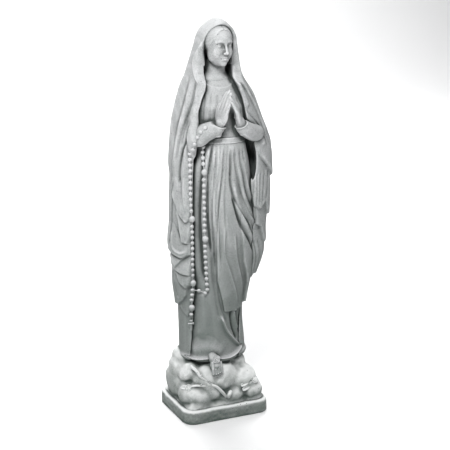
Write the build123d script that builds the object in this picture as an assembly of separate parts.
"""Standing praying madonna of cast stone, on a rockwork base and a round-cornered plinth.

Millimetres. +Z is up, the figure faces -Y, and its own right hand is on the -X side.
The origin is the centre of the plinth's underside.
The castings are separate solids that meet face to face and are pinned together with steel dowels.
"""

import math
import os

from build123d import *

# Driving dimensions
TOTAL_HEIGHT = 1220.0
PLINTH_WIDTH = 286.0
PLINTH_DEPTH = 240.0
PLINTH_HEIGHT = 45.0
PLINTH_CORNER_RADIUS = 38.0
PLINTH_TOP_ROUND = 9.0
PLINTH_BOTTOM_ROUND = 2.5

GROUND_Z = 180.0  # where the gown and the mantle stand on the rocks
NECK_Z = 1050.0  # flat seat of the neck on the gown
SASH_Z = 878.0
SASH_HEIGHT = 18.0
SASH_PROUD = 3.0
TAIL_PROUD = 8.0

SMALL_BEAD_RADIUS = 6.2
LARGE_BEAD_RADIUS = 9.0
CORD_RADIUS = 2.2
BEAD_GAP = 0.4
BEAD_PITCH = 17.3  # between two small beads' centres
LARGE_BEAD_PITCH = 24.0  # beside a large bead
CROSS_THICKNESS = 6.0
CROSS_CLEARANCE = 10.0

CORE_BAR_RADIUS = 8.0
CORE_BAR_ENDS = ((-4, -14, 20), (-4, -14, 980))
HEAD_DOWEL_RADIUS = 5.0
HEAD_DOWEL_ENDS = ((-5, -25, 1012), (-6, -38, 1105))
HAND_DOWEL_RADIUS = 3.0
HAND_DOWEL_IN_SLEEVE = 26.0
HAND_DOWEL_IN_HAND = 22.0
PLINTH_DOWEL_RADIUS = 5.0
PLINTH_DOWEL_HEIGHTS = (22.0, 85.0)
PLINTH_DOWEL_X = (-85, 78)
PLINTH_DOWEL_Y = (-58, 58)

STEM_RADIUS = 5.0
STEM_BEND = 16.0
BIG = 1000.0  # larger than any cut needs

# Body outlines: height, centre x, centre y, half width, half depth
GOWN_SECTIONS = [
    (GROUND_Z, -8, -8, 88, 78),
    (230, -8, -8, 86, 77),
    (300, -7, -10, 84, 76),
    (350, -5, -13, 85, 76),
    (400, -2, -17, 88, 77),
    (465, 4, -20, 96, 79),
    (530, 9, -22, 104, 81),
    (600, 12, -25, 108, 84),
    (665, 12, -27, 106, 86),
    (730, 9, -29, 100, 87),
    (800, 5, -32, 90, 89),
    (SASH_Z, 2, -35, 78, 86),
    (960, 0, -28, 86, 78),
    (1010, -3, -22, 82, 67),
    (NECK_Z, -5, -20, 54, 50),
]
MANTLE_SECTIONS = [
    (GROUND_Z, -3, 5, 107, 86),
    (220, -4, 5, 106, 84),
    (260, -6, 5, 104, 82),
    (300, -8, 5, 103, 81),
    (340, -8, 4, 103, 81),
    (376, -7, 3, 106, 82),
    (438, 0, 0, 124, 86),
    (500, 8, -3, 139, 90),
    (550, 9, -4, 148, 92),
    (600, 11, -5, 154, 94),
    (660, 14, -7, 158, 96),
    (730, 17, -8, 160, 98),
    (800, 19, -10, 159, 100),
    (863, 19, -10, 155, 100),
    (927, 8, -12, 138, 98),
    (1005, 0, -15, 112, 92),
    (1073, -8, -22, 82, 84),
    (1120, -7, -30, 70, 80),
    (1149, -6, -34, 63, 76),
    (1180, -6, -37, 54, 68),
    (1201, -7, -40, 42, 56),
    (1213, -7, -42, 28, 42),
    (TOTAL_HEIGHT, -7, -44, 10, 20),
]
# The mantle's front opening, as x and z, from the left foot of the opening round the face
OPENING_DEPTH_Y = -47.0
OPENING_OUTLINE = [
    (-90, GROUND_Z - 5),
    (-86, 330),
    (-90, 470),
    (-98, 660),
    (-96, 880),
    (-77, 976),
    (-57, 1050),
    (-53, 1130),
    (-38, 1186),
    (-7, 1208),
    (25, 1188),
    (38, 1130),
    (32, 1060),
    (58, 972),
    (92, 897),
    (78, 756),
    (92, 660),
    (87, 520),
    (66, 350),
    (54, GROUND_Z - 5),
]

# Where the mantle's front edges are falls of their own: lowest and highest corner
RIGHT_FALL_REGION = ((-BIG, -BIG, 336), (-80, -24, 800))
LEFT_FALL_REGION = ((70, -BIG, 440), (BIG, -24, 800))

# The core of the rocks: width, depth, corner radius
MOUND_FOOT = (246, 200, 42)
MOUND_TOP = (178, 152, 50)
MOUND_TOP_CENTRE = (-4, 0)
# Boulders: centre and half sizes
BOULDERS = [
    ((-94, 52, 88), (47, 62, 48)),
    ((-88, 20, 140), (42, 58, 46)),
    ((-80, -62, 92), (54, 44, 56)),
    ((-4, -74, 92), (70, 36, 60)),
    ((78, -60, 88), (56, 50, 56)),
    ((62, -12, 136), (40, 56, 44)),
    ((74, 50, 92), (56, 52, 60)),
    ((-20, 66, 96), (74, 44, 66)),
]

NECK_FOOT, NECK_TOP = (-5, -25, NECK_Z), (-6, -42, 1120)
NECK_RADII = (31.0, 29.0)
SKULL = ((-7, -46, 1152), (45, 56, 56))  # centre and half sizes
JAW = ((-8, -66, 1124), (33, 38, 34))
NOSE_BRIDGE_AND_TIP = ((-9, -92, 1152), (-9, -110, 1131))
NOSE_RADII = (5.0, 7.0)

# Forearms, from inside the mantle to the wrist, then the hands up to the fingertips
RIGHT_ELBOW, RIGHT_WRIST, RIGHT_TIP = (-96, -60, 880), (-37, -130, 927), (-20, -159, 1026)
LEFT_ELBOW, LEFT_WRIST, LEFT_TIP = (112, -66, 884), (11, -138, 929), (-13, -160, 1025)
RIGHT_SLEEVE_RADII = (31.0, 19.0)  # elbow, wrist
LEFT_SLEEVE_RADII = (28.0, 18.0)
PALM_PLANE_X = -17.0
# Share of the way to the fingertips, half thickness, half width
HAND_STATIONS = [(0.0, 15, 15), (0.3, 13, 20), (0.6, 9, 19), (0.9, 8, 13), (1.0, 5, 7)]

# Rosary strands, x y z from the top, and the places in each that have a large bead.
# The front strand runs on below the joint as the pendant, down to the cross.
FRONT_STRAND = [
    (-108, -84, 875),
    (-109, -80, 800),
    (-108, -76, 700),
    (-104, -72, 618),
    (-101, -70, 529),
    (-97, -66, 437),
    (-96, -62, 330),
]
FRONT_LARGE = (13, 24, 28)
REAR_STRAND = [
    (-72, -93, 861),
    (-71, -88, 760),
    (-69, -84, 600),
    (-62, -80, 470),
    (-58, -78, 408),
    (-72, -76, 408),
    (-90, -72, 426),
]
REAR_LARGE = (4, 15)
# The short run over her right forearm
ARM_STRAND = [(-80, -100, 922), (-92, -101, 910), (-103, -99, 890)]
CROSS_CENTRE = (-98, -60, 300)
CROSS_HEIGHT = 34.0
CROSS_SPAN = 19.0
CROSS_BAR = 5.0

# Sash tails, as x and z; None is the lower edge of the band
TAIL_OUTLINES = [
    [
        (-17, None),
        (5, None),
        (8, 699),
        (31, 632),
        (71, 554),
        (93, 504),
        (75, 420),
        (62, 345),
        (-5, 344),
        (-15, 392),
        (-29, 446),
        (-30, 669),
        (-21, 778),
    ],
    [
        (5.5, None),
        (15, None),
        (18, 700),
        (41, 640),
        (80, 560),
        (99, 506),
        (83, 420),
        (73, 360),
        (65.5, 360),
        (75.5, 420),
        (93.5, 504),
        (71.5, 555),
        (31.5, 633),
        (8.5, 700),
    ],
]
SASH_BACK_Y = -60.0

STEM_PATH = [(-112, -62, 112), (-84, -86, 124), (-48, -98, 118), (-22, -101, 88), (-12, -101, 60)]
BLOSSOMS = [((-114, -58, 108), 13.0), ((-8, -98, 62), 11.0), ((84, -74, 104), 15.0)]
LEAVES = [((-98, -88, 92), (9, 5, 16)), ((40, -94, 108), (26, 8, 13)), ((60, -92, 84), (24, 8, 10))]
FOOT_CENTRE, FOOT_HALF = (-38, -92, 172), (16, 30, 17)
ROSE_CENTRE, ROSE_RADIUS = (-40, -92, 196), 13.0


def lofted(sections, proud=0.0):
    """Smooth closed body through elliptic sections, grown outwards by proud."""
    faces = [
        Pos(x, y, z) * Ellipse(half_x + proud, half_y + proud).face()
        for z, x, y, half_x, half_y in sections
    ]
    return loft(faces)


def ellipsoid(centre, half):
    """Ellipsoid with its axes along the frame's."""
    return Pos(*centre) * scale(Sphere(1.0), by=half)


def rod(start, end, radius, end_radius=None):
    """Round bar, or a cone frustum, between two points."""
    a, b = Vector(*start), Vector(*end)
    plane = Plane(origin=a, z_dir=b - a)
    length = (b - a).length
    if end_radius is None or abs(end_radius - radius) < 1e-6:
        body = Cylinder(radius, length, align=(Align.CENTER, Align.CENTER, Align.MIN))
    else:
        body = Cone(radius, end_radius, length, align=(Align.CENTER, Align.CENTER, Align.MIN))
    return plane * body


def prism_along_y(outline, y_front, y_back):
    """Outline in x and z, as a solid between two y planes."""
    points = [(x, z) for x, z in outline]
    face = make_face(Polyline(*points, close=True))
    upright = Plane(origin=(0, y_back, 0), x_dir=(1, 0, 0), z_dir=(0, -1, 0))
    return extrude(upright * face, amount=y_back - y_front)


def box_between(low, high):
    """Axis-aligned box from its lowest corner to its highest."""
    size = [h - l for l, h in zip(low, high)]
    centre = [(h + l) / 2 for l, h in zip(low, high)]
    return Pos(*centre) * Box(*size)


def largest(shape):
    """The biggest solid of a cut, without the offcuts."""
    return max(shape.solids(), key=lambda s: s.volume)


def along(points, distance):
    """The point at a distance along a chain of straight runs."""
    for a, b in zip(points, points[1:]):
        run = math.dist(a, b)
        if distance <= run:
            t = distance / run
            return tuple(p + (q - p) * t for p, q in zip(a, b))
        distance -= run
    return points[-1]


def chain_length(points):
    """Length of a chain of straight runs."""
    return sum(math.dist(a, b) for a, b in zip(points, points[1:]))


def rest_on(place, shapes, radius):
    """Centre of a ball hung in front of a place, as far back along Y as leaves it clear of the shapes."""
    x, _, z = place
    sight = Axis((x, -BIG, z), (0, 1, 0))
    hits = [hit for shape in shapes for hit in shape.find_intersection_points(sight)]
    y = min(point.Y for point, _ in hits) - radius
    while min(shape.distance_to(Vertex(x, y, z)) for shape in shapes) < radius + BEAD_GAP:
        y -= BEAD_GAP
    return (x, y, z)


def make_plinth():
    """Round-cornered slab with softened edges."""
    outline = RectangleRounded(PLINTH_WIDTH, PLINTH_DEPTH, PLINTH_CORNER_RADIUS)
    slab = extrude(outline, amount=PLINTH_HEIGHT)
    slab = fillet(slab.edges().group_by(Axis.Z)[-1], PLINTH_TOP_ROUND)
    return fillet(slab.edges().group_by(Axis.Z)[0], PLINTH_BOTTOM_ROUND)


def make_rock_mound():
    """Boulders merged with a tapering core, flat where the figure stands and where it sits on the plinth."""
    mound = loft([
        Pos(0, 0, PLINTH_HEIGHT) * RectangleRounded(*MOUND_FOOT).face(),
        Pos(*MOUND_TOP_CENTRE, GROUND_Z) * RectangleRounded(*MOUND_TOP).face(),
    ])
    for centre, half in BOULDERS:
        mound += ellipsoid(centre, half)
    half_width, half_depth = PLINTH_WIDTH / 2, PLINTH_DEPTH / 2
    return mound & box_between((-half_width, -half_depth, PLINTH_HEIGHT), (half_width, half_depth, GROUND_Z))


def make_briar():
    """Stem, blossoms and leaves that lie bedded on the rocks."""
    path = FilletPolyline(*STEM_PATH, radius=[STEM_BEND] * (len(STEM_PATH) - 2))
    start = Plane(origin=path @ 0, z_dir=path % 0)
    stem = sweep(start * Circle(STEM_RADIUS).face(), path=path)
    blossoms = [Pos(*centre) * Sphere(radius) for centre, radius in BLOSSOMS]
    leaves = [ellipsoid(centre, half) for centre, half in LEAVES]
    return stem, blossoms, leaves


def make_hand(wrist, tip):
    """Closed hand from wrist to fingertips, oval in section."""
    start, reach = Vector(*wrist), Vector(*tip) - Vector(*wrist)
    faces = []
    for share, half_thick, half_wide in HAND_STATIONS:
        plane = Plane(origin=start + reach * share, x_dir=(1, 0, 0), z_dir=reach)
        faces.append(plane * Ellipse(half_thick, half_wide).face())
    return loft(faces)


def make_head():
    """Neck, skull, jaw and a plain wedge of a nose."""
    neck = rod(NECK_FOOT, NECK_TOP, *NECK_RADII)
    skull = ellipsoid(*SKULL)
    jaw = ellipsoid(*JAW)
    nose = rod(*NOSE_BRIDGE_AND_TIP, *NOSE_RADII)
    level = box_between((-BIG, -BIG, NECK_Z), (BIG, BIG, TOTAL_HEIGHT))
    return (neck + skull + jaw + nose) & level


def strand_beads(strand, large, backing):
    """Centre and radius of each bead down a strand, with more cord beside the large ones."""
    beads = []
    distance, count, length = 0.0, 0, chain_length(strand)
    while distance <= length:
        radius = LARGE_BEAD_RADIUS if count in large else SMALL_BEAD_RADIUS
        beads.append((rest_on(along(strand, distance), backing, radius), radius))
        distance += LARGE_BEAD_PITCH if count in large or count + 1 in large else BEAD_PITCH
        count += 1
    return beads


def cord_links(beads):
    """Short stretches of cord from each bead's face to the next one's."""
    links = []
    for (start, start_radius), (end, end_radius) in zip(beads, beads[1:]):
        run = math.dist(start, end)
        cord_ends = along([start, end], start_radius), along([start, end], run - end_radius)
        links.append(rod(*cord_ends, CORD_RADIUS))
    return links


def make_cross(backing):
    """Plain Latin cross, upright, facing the front."""
    upright = Box(CROSS_BAR, CROSS_THICKNESS, CROSS_HEIGHT)
    arms = Pos(0, 0, CROSS_BAR) * Box(CROSS_SPAN, CROSS_THICKNESS, CROSS_BAR)
    return Pos(*rest_on(CROSS_CENTRE, backing, CROSS_CLEARANCE)) * (upright + arms)


def make_bars():
    """Steel cast into the stone: the core bar, and the dowels that pin each casting to the next."""
    core = rod(*CORE_BAR_ENDS, CORE_BAR_RADIUS)
    neck_pin = rod(*HEAD_DOWEL_ENDS, HEAD_DOWEL_RADIUS)
    hand_pins = []
    for elbow, wrist, tip in ((RIGHT_ELBOW, RIGHT_WRIST, RIGHT_TIP), (LEFT_ELBOW, LEFT_WRIST, LEFT_TIP)):
        start = along([wrist, elbow], HAND_DOWEL_IN_SLEEVE)
        end = along([wrist, tip], HAND_DOWEL_IN_HAND)
        hand_pins.append(rod(start, end, HAND_DOWEL_RADIUS))
    low, high = PLINTH_DOWEL_HEIGHTS
    plinth_pins = [
        rod((x, y, low), (x, y, high), PLINTH_DOWEL_RADIUS)
        for x in PLINTH_DOWEL_X
        for y in PLINTH_DOWEL_Y
    ]
    return core, neck_pin, hand_pins, plinth_pins


def less(shape, *cutters):
    """The biggest solid left after each cutter in turn."""
    for cutter in cutters:
        for solid in cutter if isinstance(cutter, list) else [cutter]:
            shape = largest(shape - solid)
    return shape


def main():
    """Builds every node and writes one STEP each."""
    core_bar, head_dowel, hand_dowels, plinth_dowels = make_bars()
    stem, blossoms, leaves = make_briar()
    gown_body = lofted(GOWN_SECTIONS)
    foot_rose = Pos(*ROSE_CENTRE) * Sphere(ROSE_RADIUS)

    # The figure's castings, each cut back to the face of the one it sits against
    head = make_head()
    cloak = lofted(MANTLE_SECTIONS)
    opening = prism_along_y(OPENING_OUTLINE, -BIG / 2, OPENING_DEPTH_Y)
    mantle = less(cloak, gown_body, head, opening)
    right_region = box_between(*RIGHT_FALL_REGION)
    left_region = box_between(*LEFT_FALL_REGION)
    right_fall = largest(mantle & right_region)
    left_fall = largest(mantle & left_region)
    mantle = less(mantle, right_fall, left_fall)

    right_of_palms = box_between((-BIG, -BIG, 0), (PALM_PLANE_X, BIG, BIG * 2))
    left_of_palms = box_between((PALM_PLANE_X, -BIG, 0), (BIG, BIG, BIG * 2))
    right_hand = less(make_hand(RIGHT_WRIST, RIGHT_TIP) & right_of_palms, gown_body)
    left_hand = less(make_hand(LEFT_WRIST, LEFT_TIP) & left_of_palms, gown_body)
    drapery = [gown_body, mantle, right_fall, left_fall]
    right_sleeve = rod(RIGHT_ELBOW, RIGHT_WRIST, *RIGHT_SLEEVE_RADII)
    right_sleeve = less(right_sleeve, *drapery, right_hand, left_hand)
    left_sleeve = rod(LEFT_ELBOW, LEFT_WRIST, *LEFT_SLEEVE_RADII)
    left_sleeve = less(left_sleeve, *drapery, right_hand, left_hand, right_sleeve)

    band_low, band_high = SASH_Z - SASH_HEIGHT / 2, SASH_Z + SASH_HEIGHT / 2
    front = box_between((-BIG, -BIG, band_low), (BIG, SASH_BACK_Y, band_high))
    girdle = lofted(GOWN_SECTIONS, SASH_PROUD) & front
    sash_band = less(girdle, gown_body, mantle, right_sleeve, left_sleeve)
    proud_gown = lofted(GOWN_SECTIONS, TAIL_PROUD)
    sash_tails = []
    for outline in TAIL_OUTLINES:
        strip = prism_along_y([(x, z or band_low) for x, z in outline], -BIG / 2, SASH_BACK_Y)
        sash_tails.append(less(proud_gown & strip, gown_body, right_sleeve, left_sleeve))

    # The base: the foot, rose and briar are bedded in sockets in the rock
    foot = less(ellipsoid(FOOT_CENTRE, FOOT_HALF), gown_body, foot_rose)
    foot_rose = less(foot_rose, gown_body)
    stem = less(stem, blossoms)
    leaves = [less(leaf, stem, blossoms) for leaf in leaves]
    mound = less(make_rock_mound(), foot, stem, blossoms, leaves, plinth_dowels, core_bar)
    plinth = less(make_plinth(), plinth_dowels, core_bar)
    gown = less(gown_body, core_bar, head_dowel)
    head = less(head, head_dowel)
    right_hand, left_hand = (less(hand, hand_dowels) for hand in (right_hand, left_hand))
    right_sleeve, left_sleeve = (less(sleeve, hand_dowels) for sleeve in (right_sleeve, left_sleeve))

    # The rosary hangs against the drapery
    backing = [gown_body, mantle, right_fall, left_fall, right_sleeve]
    small_beads, large_beads, links = [], [], []
    for strand, large in ((FRONT_STRAND, FRONT_LARGE), (REAR_STRAND, REAR_LARGE), (ARM_STRAND, ())):
        beads = strand_beads(strand, large, backing)
        for centre, radius in beads:
            group = large_beads if radius == LARGE_BEAD_RADIUS else small_beads
            group.append(Pos(*centre) * Sphere(radius))
        links += cord_links(beads)
    cross = make_cross(backing)

    nodes = {
        "plinth": plinth,
        "rock_mound": mound,
        "briar_stem": stem,
        "briar_blossoms": blossoms,
        "briar_leaves": leaves,
        "left_foot": foot,
        "foot_rose": foot_rose,
        "gown": gown,
        "sash_band": sash_band,
        "sash_tails": sash_tails,
        "mantle": mantle,
        "right_drape_fall": right_fall,
        "left_drape_fall": left_fall,
        "right_sleeve": right_sleeve,
        "left_sleeve": left_sleeve,
        "right_hand": right_hand,
        "left_hand": left_hand,
        "head": head,
        "rosary_small_beads": small_beads,
        "rosary_large_beads": large_beads,
        "rosary_cord": links,
        "rosary_cross": cross,
        "core_bar": core_bar,
        "head_dowel": head_dowel,
        "hand_dowels": hand_dowels,
        "plinth_dowels": plinth_dowels,
    }
    for name, shape in nodes.items():
        export_step(Compound(children=shape) if isinstance(shape, list) else shape, f"parts/{name}.step")


if __name__ == "__main__":
    os.makedirs("parts", exist_ok=True)
    main()
